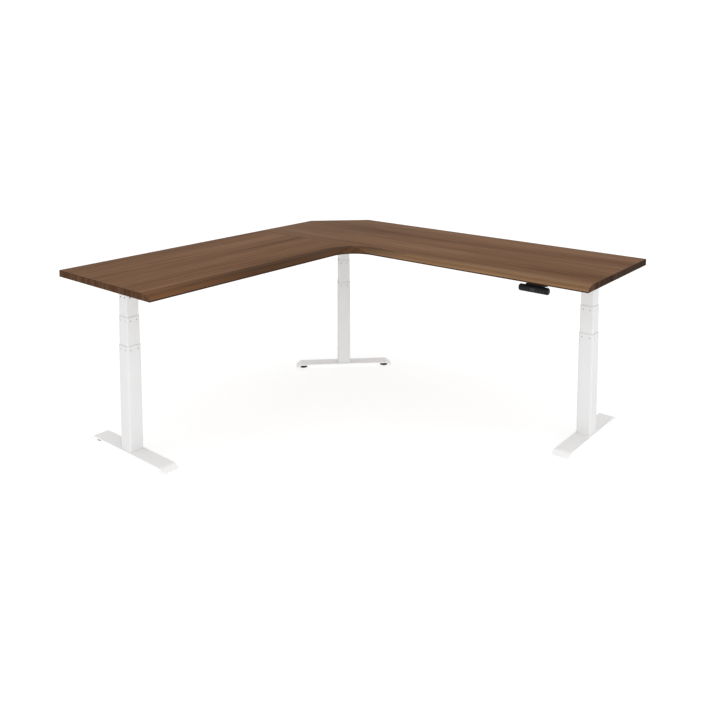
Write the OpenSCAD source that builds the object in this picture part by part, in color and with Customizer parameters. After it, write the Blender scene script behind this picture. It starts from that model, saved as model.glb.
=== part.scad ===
// L-shaped sit-stand desk: two joined desktops on a steel frame, carried by three
// three-stage lifting columns. The origin is on the floor, at the middle of the desk's box.
// X runs along the main wing, the return wing runs towards -Y, and Z is up.

/* [Desktop] */
// Length of the main wing along the wall
main_len = 2040; // [1700:5:2500]
// Length of the return wing, measured from the same outer corner
return_len = 2005; // [1650:5:2450]
// Depth of both wings
wing_depth = 700; // [600:5:840]
// Thickness of the desktops
top_t = 31; // [24:1:40]
// Length of each side of the corner that is cut off at the back
chop = 260; // [150:5:320]
// Radius of the inner corner where the user sits
inner_r = 140; // [120:5:320]
// Width of the slope along the user's edge
edge_w = 55; // [20:1:70]
// Height of the flat lip that is left under the slope
edge_lip = 6; // [3:1:12]

/* [Columns] */
// How far each of the two moving stages is drawn out here
stage_out = 120; // [60:5:200]
// How far each stage can travel in all
stage_travel = 325; // [260:5:330]
// Outside width of the lowest, widest tube
lower_w = 73; // [66:1:90]
// Outer corner radius of the lowest tube
lower_r = 8; // [8:0.5:12]
// Wall of all three tubes
tube_wall = 1.5; // [1:0.1:1.8]
// Gap between one tube and the next
tube_gap = 1; // [0.8:0.1:1.4]
// Gap that each plastic slide ring leaves to the tube it runs on
slide_clear = 0.3; // [0.2:0.05:0.4]
// Length of the lowest tube
lower_len = 500; // [480:5:620]
// How far the middle tube stands out when the desk is fully down
mid_proud = 15; // [5:1:30]
// How far the top tube stands out when the desk is fully down
upper_proud = 3; // [2:1:20]
// Height of the slide rings
ring_h = 40; // [20:1:60]

/* [Feet] */
// Length of a foot
foot_len = 580; // [480:5:700]
// Width of a foot
foot_w = 83; // [80:1:110]
// Thickness of the foot plate
foot_t = 7; // [5:0.5:8]
// Height of the foot plate's underside above the floor
foot_gap = 20; // [18:1:30]
// Radius of the foot plate's corners, seen from above
foot_r = 12; // [4:1:20]
// Length of the bent-down end, seen from above
lip_run = 29; // [20:1:40]
// How far the bent-down end drops
lip_drop = 20; // [12:1:24]
// Diameter of a levelling glide
glide_d = 46; // [36:1:52]
// How far each glide can still be screwed up
glide_travel = 5; // [3:1:6]

/* [Frame] */
// Width of a frame rail
rail_w = 40; // [30:1:50]
// Height of a frame rail
rail_h = 25; // [20:1:40]
// Wall of a frame rail
rail_wall = 2; // [1.5:0.1:3]
// Distance of the rails' middles from the line of the columns
rail_off = 57; // [55:1:70]
// Thickness of the head plate on a column
head_t = 6; // [4:0.5:8]
// Distance of the end columns from the ends of the wings
leg_inset = 143; // [130:1:200]
// Distance of all columns from the back edges
leg_back = 342; // [320:1:420]

/* [Lifting gear] */
// Diameter of the motor and its gearbox
motor_d = 48; // [40:1:50]
// Length of the motor
motor_len = 65; // [50:1:70]
// Length of the gearbox
gearbox_len = 40; // [30:1:45]
// Diameter of the hollow outer screw
outer_screw_d = 25; // [24:1:26]
// Diameter of the inner screw
inner_screw_d = 14; // [12:1:15]
// Clearance of a turning shaft in its bearing
run_clear = 0.05; // [0.03:0.01:0.08]

/* [Control] */
// Length of the control box
box_len = 260; // [200:5:320]
// Width of the control box
box_w = 120; // [90:5:140]
// Height of the control box
box_h = 42; // [34:1:50]
// Length of the hand control
bar_len = 147; // [120:1:180]
// Diameter of the hand control
bar_d = 33; // [24:1:36]
// Gap between the hand control and the desktop
bar_gap = 13; // [11:0.5:18]

/* [Hidden] */
$fn = 48;

LEGS = ["left", "right", "corner"];
SOLO = ["main_top", "return_top", "seam_plates", "main_rails", "return_rails", "end_brackets",
        "frame_bolts", "top_screws", "upper_slide_rings", "lift_motors", "gearboxes",
        "control_box_shell", "control_box_cover", "control_board",
        "keypad_bracket", "keypad_handle", "keypad_end_caps", "memory_button"];

// Small overlap that makes cuts run clear of a face
eps = 1;

// Outer corner of the L, where the two back edges would meet
x_out = -main_len / 2;
y_out = return_len / 2;
x_end = x_out + main_len;
y_end = y_out - return_len;
x_in = x_out + wing_depth;
y_in = y_out - wing_depth;

// Plan positions and turn of the three columns
function leg_xy(leg) =
    leg == "left" ? [x_out + leg_back, y_end + leg_inset] :
    leg == "right" ? [x_end - leg_inset, y_out - leg_back] :
    [x_out + leg_back, y_out - leg_back];
function leg_turn(leg) = leg == "left" ? 0 : leg == "right" ? 90 : 45;

// Levels of the foot and the lower stage
foot_top = foot_gap + foot_t;
base_t = 6;
lip_bend = atan2(lip_drop, lip_run);
lip_start = foot_len / 2 - lip_run - foot_t * tan(lip_bend / 2);
base_top = foot_top + base_t;
lower_top = foot_top + lower_len;

// Widths of the tubes, from the lowest inwards
lower_in = lower_w - 2 * tube_wall;
mid_w = lower_in - 2 * tube_gap;
mid_in = mid_w - 2 * tube_wall;
upper_w = mid_in - 2 * tube_gap;

// Levels of the middle stage
mid_top = lower_top + mid_proud + stage_out;
mid_floor_t = 5;
mid_bottom = base_top + 4 + stage_out;

// Levels of the top stage and of everything above it
column_top = mid_top + upper_proud + stage_out;
upper_bottom = mid_bottom + mid_floor_t + 8 + stage_out;
rail_z = column_top + head_t;
underside = rail_z + rail_h;
desk_h = underside + top_t;

// Lifting gear, from the motor down
gearbox_z = column_top - motor_len - gearbox_len;
block_h = 40;
block_z = gearbox_z - stage_out - 3 - block_h;
journal_len = 18;
journal_d = outer_screw_d - 3;
nut_h = 24;
nut_top = block_z - stage_out - 10;
nut_z = nut_top - nut_h;
outer_screw_z = nut_z + 6 - stage_travel + stage_out;
pocket_top = block_z + journal_len + 0.3;
spline_h = 15;
spline_z = pocket_top - 7 - spline_h - (stage_travel - stage_out);
post_d = outer_screw_d + 10;
post_in_d = outer_screw_d + 3;
guide_in_d = post_d + 6;
guide_d = guide_in_d + 3;
block_spigot_h = 6;
screw_bore_d = inner_screw_d + 4;
shaft_d = 10;
shaft_len = 18;

// Fasteners
bolt_d = 8;
bolt_head_d = 13;
bolt_head_h = 5;
bolt_fit = 0.1;
foot_bolt_xy = 21;
wood_d = 4.5;
wood_head_d = 9;
wood_head_h = 3;
wood_in = 20;
bracket_t = 3;

// Glide
glide_pad_h = 7.5;
glide_hex_h = 5;
glide_side_clear = 0.7;
glide_x = lip_start + (foot_gap - glide_pad_h - glide_travel) / tan(lip_bend)
        - glide_d / 2 - glide_side_clear;
stud_clear = 0.07;

// ---- shapes that several pieces share ----

module rounded_rectangle(len, w, r) {
    square([len - 2 * r, w], center = true);
    square([len, w - 2 * r], center = true);
    for (sx = [-1, 1], sy = [-1, 1])
        translate([sx * (len / 2 - r), sy * (w / 2 - r)])
            circle(r);
}

module rounded_square(w, r) {
    rounded_rectangle(w, w, r);
}

module square_tube(w, r, wall, z0, z1) {
    translate([0, 0, z0])
        linear_extrude(z1 - z0)
            difference() {
                rounded_square(w, r);
                rounded_square(w - 2 * wall, r - wall);
            }
}

module rod(d, z0, z1) {
    translate([0, 0, z0])
        cylinder(d = d, h = z1 - z0);
}

module pipe(d, d_in, z0, z1) {
    difference() {
        rod(d, z0, z1);
        rod(d_in, z0 - eps, z1 + eps);
    }
}

module block(x0, x1, y0, y1, z0, z1) {
    translate([x0, y0, z0])
        cube([x1 - x0, y1 - y0, z1 - z0]);
}

module at_leg(leg) {
    translate([leg_xy(leg)[0], leg_xy(leg)[1], 0])
        rotate([0, 0, leg_turn(leg)])
            children();
}

// Four places at the corners of a rectangle
module at_corners(dx, dy) {
    for (sx = [-1, 1], sy = [-1, 1])
        translate([sx * dx, sy * dy, 0])
            children();
}

// The two small holes near a tube's mouth on each face, which hold the bush's pegs
peg_d = 6;
peg_drop = 18;
peg_side = 17;
module peg_places(w) {
    for (turn = [0:90:270], s = [-1, 1])
        rotate([0, 0, turn])
            translate([s * (w / 2 - peg_side), 0, 0])
                rotate([90, 0, 0])
                    children();
}

// ---- feet and lower stage ----

// Side view of the bent plate: flat in the middle, both ends folded down
module foot_profile() {
    flat = foot_len / 2 - lip_run;
    tip = [foot_len / 2 - foot_t * sin(lip_bend), foot_top - lip_drop - foot_t * cos(lip_bend)];
    polygon([[-foot_len / 2, foot_top - lip_drop], [-flat, foot_top], [flat, foot_top],
             [foot_len / 2, foot_top - lip_drop], tip, [lip_start, foot_gap],
             [-lip_start, foot_gap], [-tip[0], tip[1]]]);
}

module foot(leg) {
    color("white")
        at_leg(leg)
            difference() {
                intersection() {
                    translate([0, foot_w / 2, 0])
                        rotate([90, 0, 0])
                            linear_extrude(foot_w)
                                foot_profile();
                    linear_extrude(foot_top + eps)
                        rounded_rectangle(foot_len, foot_w, foot_r);
                }
                at_corners(foot_bolt_xy, foot_bolt_xy)
                    rod(bolt_d + 0.6, foot_gap - eps, foot_top + eps);
                for (s = [-1, 1])
                    translate([s * glide_x, 0, 0])
                        rod(bolt_d, foot_gap - eps, foot_top + eps);
            }
}

module foot_bolts(leg) {
    color("dimgray")
        at_leg(leg)
            at_corners(foot_bolt_xy, foot_bolt_xy) {
                rod(bolt_head_d, foot_gap - bolt_head_h, foot_gap);
                rod(bolt_d, foot_gap - eps, base_top - 1);
            }
}

module glide(leg, side) {
    color("black")
        at_leg(leg)
            translate([side * glide_x, 0, 0]) {
                rod(glide_d, 0, glide_pad_h);
                translate([0, 0, glide_pad_h - eps])
                    cylinder(d = 17, h = glide_hex_h + eps, $fn = 6);
                rod(bolt_d - 2 * stud_clear, glide_pad_h, foot_top - 0.5);
            }
}

module lower_tube(leg) {
    color("white")
        at_leg(leg)
            difference() {
                union() {
                    square_tube(lower_w, lower_r, tube_wall, foot_top, lower_top);
                    translate([0, 0, foot_top])
                        linear_extrude(base_t)
                            rounded_square(lower_w - tube_wall, lower_r - tube_wall / 2);
                }
                at_corners(foot_bolt_xy, foot_bolt_xy)
                    rod(bolt_d + 2 * bolt_fit, foot_top - eps, base_top + eps);
                translate([0, 0, lower_top - peg_drop])
                    peg_places(lower_w)
                        cylinder(d = peg_d, h = lower_w / 2 + eps);
            }
}

// A slide ring with eight pegs that snap into the tube around it
module mouth_ring(tube_in_w, tube_in_r, outer_w, top) {
    ring_out = tube_in_w - 0.1;
    wall = tube_gap - slide_clear - 0.05;
    square_tube(ring_out, tube_in_r, wall, top - ring_h, top - 0.5);
    translate([0, 0, top - peg_drop])
        peg_places(outer_w)
            translate([0, 0, ring_out / 2 - wall / 2])
                cylinder(d = peg_d - 0.2, h = (outer_w - ring_out) / 2 + wall / 2 - 0.4);
}

module lower_bush(leg) {
    color("darkgray")
        at_leg(leg)
            mouth_ring(lower_in, lower_r - tube_wall, lower_w, lower_top);
}

module spindle_post(leg) {
    color("silver")
        at_leg(leg)
            pipe(post_d, post_in_d, base_top, nut_z);
}

module post_nut(leg) {
    color("goldenrod")
        at_leg(leg)
            difference() {
                union() {
                    rod(post_d, nut_z, nut_top);
                    rod(post_in_d - 0.1, nut_z - 12, nut_z + eps);
                }
                rod(outer_screw_d + 2 * run_clear, nut_z - 12 - eps, nut_top + eps);
            }
}

// ---- middle stage ----

mid_r = lower_r - tube_wall - tube_gap;

module mid_tube(leg) {
    color("white")
        at_leg(leg)
            difference() {
                union() {
                    square_tube(mid_w, mid_r, tube_wall, mid_bottom, mid_top);
                    translate([0, 0, mid_bottom])
                        linear_extrude(mid_floor_t)
                            rounded_square(mid_w - tube_wall, mid_r - tube_wall / 2);
                    rod(guide_d, mid_bottom, block_z);
                }
                rod(guide_in_d, mid_bottom - eps, block_z + eps);
                translate([0, 0, mid_top - peg_drop])
                    peg_places(mid_w)
                        cylinder(d = peg_d, h = mid_w / 2 + eps);
            }
}

// Ring round the lower end of a tube, running inside the next wider one
module foot_ring(tube_w, tube_r, z0) {
    square_tube(tube_w + 2 * (tube_gap - slide_clear), tube_r + tube_gap - slide_clear,
                tube_gap - slide_clear - 0.02, z0, z0 + ring_h);
}

module mid_slide_rings(leg) {
    color("darkgray")
        at_leg(leg) {
            foot_ring(mid_w, mid_r, mid_bottom + 2);
            mouth_ring(mid_in, mid_r - tube_wall, mid_w, mid_top);
        }
}

module bearing_block(leg) {
    color("dimgray")
        at_leg(leg)
            difference() {
                union() {
                    rod(guide_d, block_z, block_z + block_h);
                    rod(guide_in_d - 0.2, block_z - block_spigot_h, block_z + eps);
                }
                rod(post_d - 3, block_z - block_spigot_h - eps, block_z);
                rod(journal_d + 2 * run_clear, block_z - eps, pocket_top);
                rod(inner_screw_d + 2 * run_clear, block_z, block_z + block_h + eps);
            }
}

module outer_screw(leg) {
    color("silver")
        at_leg(leg)
            difference() {
                union() {
                    rod(outer_screw_d, outer_screw_z, block_z - 3.5);
                    rod(outer_screw_d + 3, block_z - 4, block_z - 0.3);
                    rod(journal_d, block_z - eps, block_z + journal_len);
                }
                rod(screw_bore_d, outer_screw_z - eps, block_z + journal_len + eps);
            }
}

// ---- top stage ----

upper_r = mid_r - tube_wall - tube_gap;

module inner_screw(leg) {
    color("silver")
        at_leg(leg) {
            rod(screw_bore_d - 0.6, spline_z, spline_z + spline_h);
            rod(inner_screw_d, spline_z, gearbox_z - 0.3);
            rod(shaft_d, gearbox_z - eps, gearbox_z + shaft_len);
        }
}

// Head plate on a column, with the rails lying on it along X or along Y
plate_long = 75;
plate_wide = rail_off + rail_w / 2 + 3;
corner_reach = 125;
bolt_along = 60;

module head_plate_shape(leg) {
    x = leg == "left" ? plate_wide : plate_long + (leg == "corner" ? 12 : 0);
    y = leg == "left" ? plate_long : plate_wide;
    y0 = leg == "corner" ? -corner_reach : -y;
    block(-x, x, y0, y, column_top, rail_z);
}

// Bolt places of a head plate, counted from the column's middle
function head_bolts(leg) =
    leg == "left" ? [for (sx = [-1, 1], sy = [-1, 1]) [sx * rail_off, sy * bolt_along]] :
    [for (sx = [-1, 1], sy = [-1, 1]) [sx * bolt_along, sy * rail_off],
     if (leg == "corner") each [for (sx = [-1, 1]) [sx * rail_off, -corner_reach + 14]]];

module at_head_bolts(leg) {
    for (p = head_bolts(leg))
        translate([leg_xy(leg)[0] + p[0], leg_xy(leg)[1] + p[1], 0])
            children();
}

module upper_tube(leg) {
    color("white")
        difference() {
            union() {
                at_leg(leg)
                    square_tube(upper_w, upper_r, tube_wall, upper_bottom, column_top + eps);
                translate([leg_xy(leg)[0], leg_xy(leg)[1], 0])
                    head_plate_shape(leg);
            }
            at_head_bolts(leg)
                rod(bolt_d + 0.6, column_top - eps, rail_z + eps);
        }
}

module upper_slide_rings() {
    color("darkgray")
        for (leg = LEGS)
            at_leg(leg)
                foot_ring(upper_w, upper_r, upper_bottom + 2);
}

module lift_motors() {
    color("dimgray")
        for (leg = LEGS)
            at_leg(leg)
                rod(motor_d, gearbox_z + gearbox_len, column_top);
}

module gearboxes() {
    color("gray")
        for (leg = LEGS)
            at_leg(leg)
                difference() {
                    rod(motor_d, gearbox_z, gearbox_z + gearbox_len);
                    rod(shaft_d + 2 * run_clear, gearbox_z - eps, gearbox_z + shaft_len + 2);
                }
}

// ---- frame ----

rail_past = 90;
main_rail_x0 = leg_xy("corner")[0] - plate_long;
main_rail_x1 = leg_xy("right")[0] + rail_past;
return_rail_y0 = leg_xy("left")[1] - rail_past;
return_rail_y1 = leg_xy("corner")[1] - rail_off - rail_w / 2 - 2;

// Places of the long wood screws that hold the rails up against the desktops
screw_share = [0.3, 0.6, 0.85];
main_rail_screws = [for (f = screw_share, s = [-1, 1])
    [main_rail_x0 + f * (main_rail_x1 - main_rail_x0), leg_xy("right")[1] + s * rail_off]];
return_rail_screws = [for (f = screw_share, s = [-1, 1])
    [leg_xy("left")[0] + s * rail_off, return_rail_y0 + (1 - f) * (return_rail_y1 - return_rail_y0)]];

module rail(x0, x1, y0, y1, along_x) {
    w = along_x ? [eps, -rail_wall] : [-rail_wall, eps];
    difference() {
        block(x0, x1, y0, y1, rail_z, underside);
        block(x0 - w[0], x1 + w[0], y0 - w[1], y1 + w[1],
              rail_z + rail_wall, underside - rail_wall);
    }
}

module screw_and_bolt_holes(screws, legs) {
    difference() {
        children();
        for (p = screws)
            translate([p[0], p[1], 0])
                rod(wood_d + 0.6, rail_z - eps, underside + eps);
        for (leg = legs)
            at_head_bolts(leg)
                rod(bolt_d + 2 * bolt_fit, rail_z - eps, rail_z + rail_wall + eps);
    }
}

module main_rails() {
    color("white")
        screw_and_bolt_holes(main_rail_screws, ["right", "corner"])
            for (s = [-1, 1])
                rail(main_rail_x0, main_rail_x1,
                     leg_xy("right")[1] + s * rail_off - rail_w / 2,
                     leg_xy("right")[1] + s * rail_off + rail_w / 2, true);
}

module return_rails() {
    color("white")
        screw_and_bolt_holes(return_rail_screws, ["left", "corner"])
            for (s = [-1, 1])
                rail(leg_xy("left")[0] + s * rail_off - rail_w / 2,
                     leg_xy("left")[0] + s * rail_off + rail_w / 2,
                     return_rail_y0, return_rail_y1, false);
}

module frame_bolts() {
    color("dimgray")
        for (leg = LEGS)
            at_head_bolts(leg) {
                rod(bolt_head_d, column_top - bolt_head_h, column_top);
                rod(bolt_d, column_top - eps, rail_z + rail_wall + 8);
            }
}

// Angle brackets under the two outer ends, across the wings
bracket_len = 520;
bracket_leg = 40;
bracket_drop = 22;
bracket_screws = [-220, -80, 80, 220];

module angle_bracket() {
    difference() {
        union() {
            block(0, bracket_leg, -bracket_len / 2, bracket_len / 2, underside - bracket_t, underside);
            block(0, bracket_t, -bracket_len / 2, bracket_len / 2,
                  underside - bracket_drop, underside - bracket_t + 0.5);
        }
        for (p = bracket_screws)
            translate([bracket_leg / 2 + 4, p, 0])
                rod(wood_d + 0.6, underside - bracket_t - eps, underside + eps);
    }
}

module at_main_end() {
    translate([main_rail_x1, leg_xy("right")[1], 0])
        children();
}

module at_return_end() {
    translate([leg_xy("left")[0], return_rail_y0, 0])
        rotate([0, 0, -90])
            children();
}

module end_brackets() {
    color("white") {
        at_main_end()
            angle_bracket();
        at_return_end()
            angle_bracket();
    }
}

// Flat plates that hold the two desktops together across the seam
seam_plate_len = 160;
seam_plate_w = 40;
seam_screw_y = [-62, -24, 24, 62];
// The innermost plate keeps its screws this far behind the slope round the inner corner
seam_slope_gap = 8;
seam_slope_r = inner_r + edge_w + seam_slope_gap;
seam_plate_x = [x_out + 110, x_in - 150,
                x_in + inner_r - sqrt(pow(seam_slope_r, 2) - pow(inner_r + seam_screw_y[0], 2))];

module seam_plates() {
    color("silver")
        for (x = seam_plate_x)
            difference() {
                block(x - seam_plate_w / 2, x + seam_plate_w / 2,
                      y_in - seam_plate_len / 2, y_in + seam_plate_len / 2,
                      underside - bracket_t, underside);
                for (y = seam_screw_y)
                    translate([x, y_in + y, 0])
                        rod(wood_d + 0.6, underside - bracket_t - eps, underside + eps);
            }
}

module at_seam_screws() {
    for (x = seam_plate_x, y = seam_screw_y)
        translate([x, y_in + y, 0])
            children();
}

module at_bracket_screws() {
    at_main_end()
        for (p = bracket_screws)
            translate([bracket_leg / 2 + 4, p, 0])
                children();
    at_return_end()
        for (p = bracket_screws)
            translate([bracket_leg / 2 + 4, p, 0])
                children();
}

module at_rail_screws() {
    for (p = concat(main_rail_screws, return_rail_screws))
        translate([p[0], p[1], 0])
            children();
}

module wood_screw(seat) {
    rod(wood_head_d, seat - wood_head_h, seat);
    rod(wood_d, seat - eps, underside + wood_in);
}

module top_screws() {
    color("dimgray") {
        at_rail_screws()
            wood_screw(rail_z);
        at_bracket_screws()
            wood_screw(underside - bracket_t);
        at_seam_screws()
            wood_screw(underside - bracket_t);
        at_keypad_screws()
            wood_screw(underside - bracket_t);
        at_box_screws()
            wood_screw(underside - box_flange_t);
    }
}

module pilot_holes() {
    module pilot() {
        rod(wood_d + 0.1, underside - eps, underside + wood_in + 1);
    }
    at_rail_screws()
        pilot();
    at_bracket_screws()
        pilot();
    at_seam_screws()
        pilot();
    at_keypad_screws()
        pilot();
    at_box_screws()
        pilot();
}

// ---- desktops ----

// Section of what the slope takes off the user's edge; x is the distance from the edge
module edge_cut() {
    polygon([[-eps, edge_lip], [0, edge_lip], [0.4 * edge_w, edge_lip + 0.72 * (top_t - edge_lip)],
             [edge_w, top_t], [edge_w, top_t + eps], [-eps, top_t + eps]]);
}

module desk_outline() {
    difference() {
        union() {
            translate([x_out, y_in])
                square([main_len, wing_depth]);
            translate([x_out, y_end])
                square([wing_depth, return_len]);
            translate([x_in - eps, y_in - inner_r])
                square([inner_r + eps, inner_r + eps]);
        }
        translate([x_in + inner_r, y_in - inner_r])
            circle(inner_r, $fn = 96);
        polygon([[x_out - eps, y_out + eps], [x_out + chop, y_out + eps], [x_out + chop, y_out],
                 [x_out, y_out - chop], [x_out - eps, y_out - chop]]);
    }
}

module user_edge_slope() {
    // Along the main wing
    translate([x_in + inner_r, y_in, underside])
        rotate([90, 0, 90])
            linear_extrude(main_len - wing_depth - inner_r + eps)
                edge_cut();
    // Along the return wing
    translate([x_in, y_end - eps, underside])
        mirror([1, 0, 0])
            translate([0, return_len - wing_depth - inner_r + eps, 0])
                rotate([90, 0, 0])
                    linear_extrude(return_len - wing_depth - inner_r + eps)
                        edge_cut();
    // Round the inner corner
    translate([x_in + inner_r, y_in - inner_r, underside])
        rotate([0, 0, 90])
            rotate_extrude(angle = 90, $fn = 96)
                translate([inner_r, 0])
                    edge_cut();
}

module desktop() {
    difference() {
        translate([0, 0, underside])
            linear_extrude(top_t)
                desk_outline();
        user_edge_slope();
        pilot_holes();
    }
}

module main_top() {
    color("saddlebrown")
        intersection() {
            desktop();
            block(x_out - eps, x_end + eps, y_in, y_out + eps, underside - eps, desk_h + eps);
        }
}

module return_top() {
    color("saddlebrown")
        intersection() {
            desktop();
            block(x_out - eps, x_end + eps, y_end - eps, y_in, underside - eps, desk_h + eps);
        }
}

// ---- control box ----

box_x = x_in + 230;
box_y = y_out - 110 - box_w;
box_wall = 2.5;
box_flange = 14;
box_flange_t = 3;
box_floor = underside - box_h;

module at_box_screws() {
    for (x = [box_x - box_flange / 2, box_x + box_len + box_flange / 2], y = [20, box_w - 20])
        translate([x, box_y + y, 0])
            children();
}

module control_box_shell() {
    color("black")
        difference() {
            union() {
                block(box_x, box_x + box_len, box_y, box_y + box_w, box_floor, underside - 0.1);
                block(box_x - box_flange, box_x + box_len + box_flange, box_y, box_y + box_w,
                      underside - box_flange_t, underside - 0.1);
            }
            block(box_x + box_wall, box_x + box_len - box_wall,
                  box_y + box_wall, box_y + box_w - box_wall, box_floor + box_wall, underside + eps);
            // Sockets for the three columns, the hand control and the mains inlet
            for (i = [0:3])
                block(box_x + 24 + 34 * i, box_x + 44 + 34 * i, box_y - eps, box_y + box_wall + eps,
                      box_floor + 12, box_floor + 26);
            block(box_x + 180, box_x + 228, box_y - eps, box_y + box_wall + eps,
                  box_floor + 8, box_floor + 32);
            at_box_screws()
                rod(wood_d + 0.6, underside - box_flange_t - eps, underside + eps);
        }
}

module control_box_cover() {
    color("black")
        block(box_x + box_wall + 0.2, box_x + box_len - box_wall - 0.2,
              box_y + box_wall + 0.2, box_y + box_w - box_wall - 0.2, underside - 2.6, underside - 0.1);
}

module control_board() {
    color("green") {
        block(box_x + 8, box_x + box_len - 8, box_y + 6, box_y + box_w - 6,
              box_floor + 8, box_floor + 9.6);
        for (x = [box_x + 14, box_x + box_len - 14], y = [box_y + 12, box_y + box_w - 12])
            translate([x, y, 0])
                rod(6, box_floor + box_wall, box_floor + 8.5);
        for (i = [0:1])
            translate([box_x + 70 + 60 * i, box_y + 80, 0])
                rod(22, box_floor + 9, box_floor + 32);
    }
}

// ---- hand control ----

bar_x = x_end - 265;
bar_y = y_in + 17;
bar_z = underside - bar_gap - bar_d / 2;
pivot_y = y_in + 52;
pivot_z = underside - 12;
pivot_pin_d = 6;
keypad_plate_w = 112;
keypad_arm_w = 88;
cap_t = 3;
button_d = 9;
button_out = 1.5;

module at_keypad_screws() {
    for (s = [-1, 1])
        translate([bar_x + s * 22, pivot_y + 16, 0])
            children();
}

module along_x(d, x0, x1) {
    translate([x0, 0, 0])
        rotate([0, 90, 0])
            cylinder(d = d, h = x1 - x0);
}

module keypad_bracket() {
    color("black")
        difference() {
            union() {
                block(bar_x - keypad_plate_w / 2, bar_x + keypad_plate_w / 2, pivot_y - 8, pivot_y + 24,
                      underside - bracket_t, underside);
                for (s = [-1, 1])
                    block(bar_x + s * (keypad_arm_w / 2 + 3) - 2, bar_x + s * (keypad_arm_w / 2 + 3) + 2,
                          pivot_y - 6, pivot_y + 6, pivot_z - 6, underside - 1);
                translate([0, pivot_y, pivot_z])
                    along_x(pivot_pin_d, bar_x - keypad_arm_w / 2 - 3, bar_x + keypad_arm_w / 2 + 3);
            }
            at_keypad_screws()
                rod(wood_d + 0.6, underside - bracket_t - eps, underside + eps);
        }
}

module keypad_handle() {
    color("black")
        difference() {
            union() {
                translate([0, bar_y, bar_z])
                    along_x(bar_d, bar_x - bar_len / 2 + cap_t, bar_x + bar_len / 2 - cap_t);
                handle_arm();
            }
            translate([0, pivot_y, pivot_z])
                along_x(pivot_pin_d + 2 * run_clear, bar_x - keypad_arm_w, bar_x + keypad_arm_w);
            translate([bar_x - 40, bar_y - bar_d / 2 + 4, bar_z])
                rotate([90, 0, 0])
                    cylinder(d = button_d + 0.6, h = bar_d);
        }
}

// Arm from the bar back to its pivot
module handle_arm() {
    block(bar_x - keypad_arm_w / 2, bar_x + keypad_arm_w / 2, bar_y, pivot_y, pivot_z - 7, pivot_z + 4);
    translate([0, pivot_y, pivot_z])
        along_x(12, bar_x - keypad_arm_w / 2, bar_x + keypad_arm_w / 2);
}

module keypad_end_caps() {
    color("dimgray")
        translate([0, bar_y, bar_z]) {
            along_x(bar_d, bar_x - bar_len / 2, bar_x - bar_len / 2 + cap_t);
            along_x(bar_d, bar_x + bar_len / 2 - cap_t, bar_x + bar_len / 2);
        }
}

module memory_button() {
    color("gray")
        translate([bar_x - 40, bar_y - bar_d / 2 + 3, bar_z])
            rotate([90, 0, 0])
                cylinder(d = button_d, h = 3 + button_out);
}

for (leg = LEGS) {
    foot(leg);
    foot_bolts(leg);
    glide(leg, -1);
    glide(leg, 1);
    lower_tube(leg);
    lower_bush(leg);
    spindle_post(leg);
    post_nut(leg);
    mid_tube(leg);
    mid_slide_rings(leg);
    bearing_block(leg);
    outer_screw(leg);
    inner_screw(leg);
    upper_tube(leg);
}
upper_slide_rings();
lift_motors();
gearboxes();
main_rails();
return_rails();
end_brackets();
frame_bolts();
seam_plates();
top_screws();
main_top();
return_top();
control_box_shell();
control_box_cover();
control_board();
keypad_bracket();
keypad_handle();
keypad_end_caps();
memory_button();
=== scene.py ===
from math import atan2, cos, pi, radians, sin, tan
import bmesh
import bpy
from mathutils import Matrix, Vector


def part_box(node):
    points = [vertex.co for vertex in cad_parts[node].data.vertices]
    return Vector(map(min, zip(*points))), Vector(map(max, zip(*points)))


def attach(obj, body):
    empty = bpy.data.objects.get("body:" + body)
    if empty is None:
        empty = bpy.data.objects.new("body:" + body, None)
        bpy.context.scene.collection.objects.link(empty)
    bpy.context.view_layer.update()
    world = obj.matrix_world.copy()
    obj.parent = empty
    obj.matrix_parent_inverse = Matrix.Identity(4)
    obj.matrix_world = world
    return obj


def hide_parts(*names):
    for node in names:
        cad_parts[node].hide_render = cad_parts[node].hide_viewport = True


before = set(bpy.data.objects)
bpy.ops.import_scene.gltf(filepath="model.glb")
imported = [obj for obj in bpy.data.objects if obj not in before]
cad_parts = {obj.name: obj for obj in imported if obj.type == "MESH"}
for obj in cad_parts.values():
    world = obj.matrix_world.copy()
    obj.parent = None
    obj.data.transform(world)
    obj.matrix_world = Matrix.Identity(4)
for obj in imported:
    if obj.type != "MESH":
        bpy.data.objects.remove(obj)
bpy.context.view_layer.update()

# ---------------------------------------------------------------------------
# Feet. Each foot is one steel plate with its two ends folded down and its
# corners rounded, finished in the columns' fine white powder coat, painted
# lighter as painted light on the foot tops. The column is bolted on from below.
# ---------------------------------------------------------------------------

LEGS = ("left", "right", "corner")
FOOT_TURN = {"left": 0.0, "right": pi / 2, "corner": pi / 4}
MM = 0.001

foot_low, foot_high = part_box("left_foot")
FOOT_LENGTH = foot_high.x - foot_low.x
FOOT_WIDTH = foot_high.y - foot_low.y
FOOT_TOP = foot_high.z
FOOT_PLATE = 7 * MM
LIP_RUN = 29 * MM
LIP_DROP = 20 * MM
FOOT_CORNER = 12 * MM
FOLD_RADIUS = 7 * MM
FOLD_REACH = 4 * MM
FOOT_ARRIS = 1.6 * MM


def leg_place(leg):
    """Plan position and turn of a column, as a matrix."""
    low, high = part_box(leg + "_lower_tube")
    middle = (low + high) / 2
    return Matrix.Translation((middle.x, middle.y, 0)) @ Matrix.Rotation(FOOT_TURN[leg], 4, "Z")


def new_group(name, inputs, outputs):
    """An empty shader node group with its sockets."""
    group = bpy.data.node_groups.new(name, "ShaderNodeTree")
    for label, kind, default in inputs:
        socket = group.interface.new_socket(label, in_out="INPUT", socket_type=kind)
        if default is not None:
            socket.default_value = default
    for label, kind in outputs:
        group.interface.new_socket(label, in_out="OUTPUT", socket_type=kind)
    start = group.nodes.new("NodeGroupInput")
    end = group.nodes.new("NodeGroupOutput")
    return group, start.outputs, end.inputs


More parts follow.
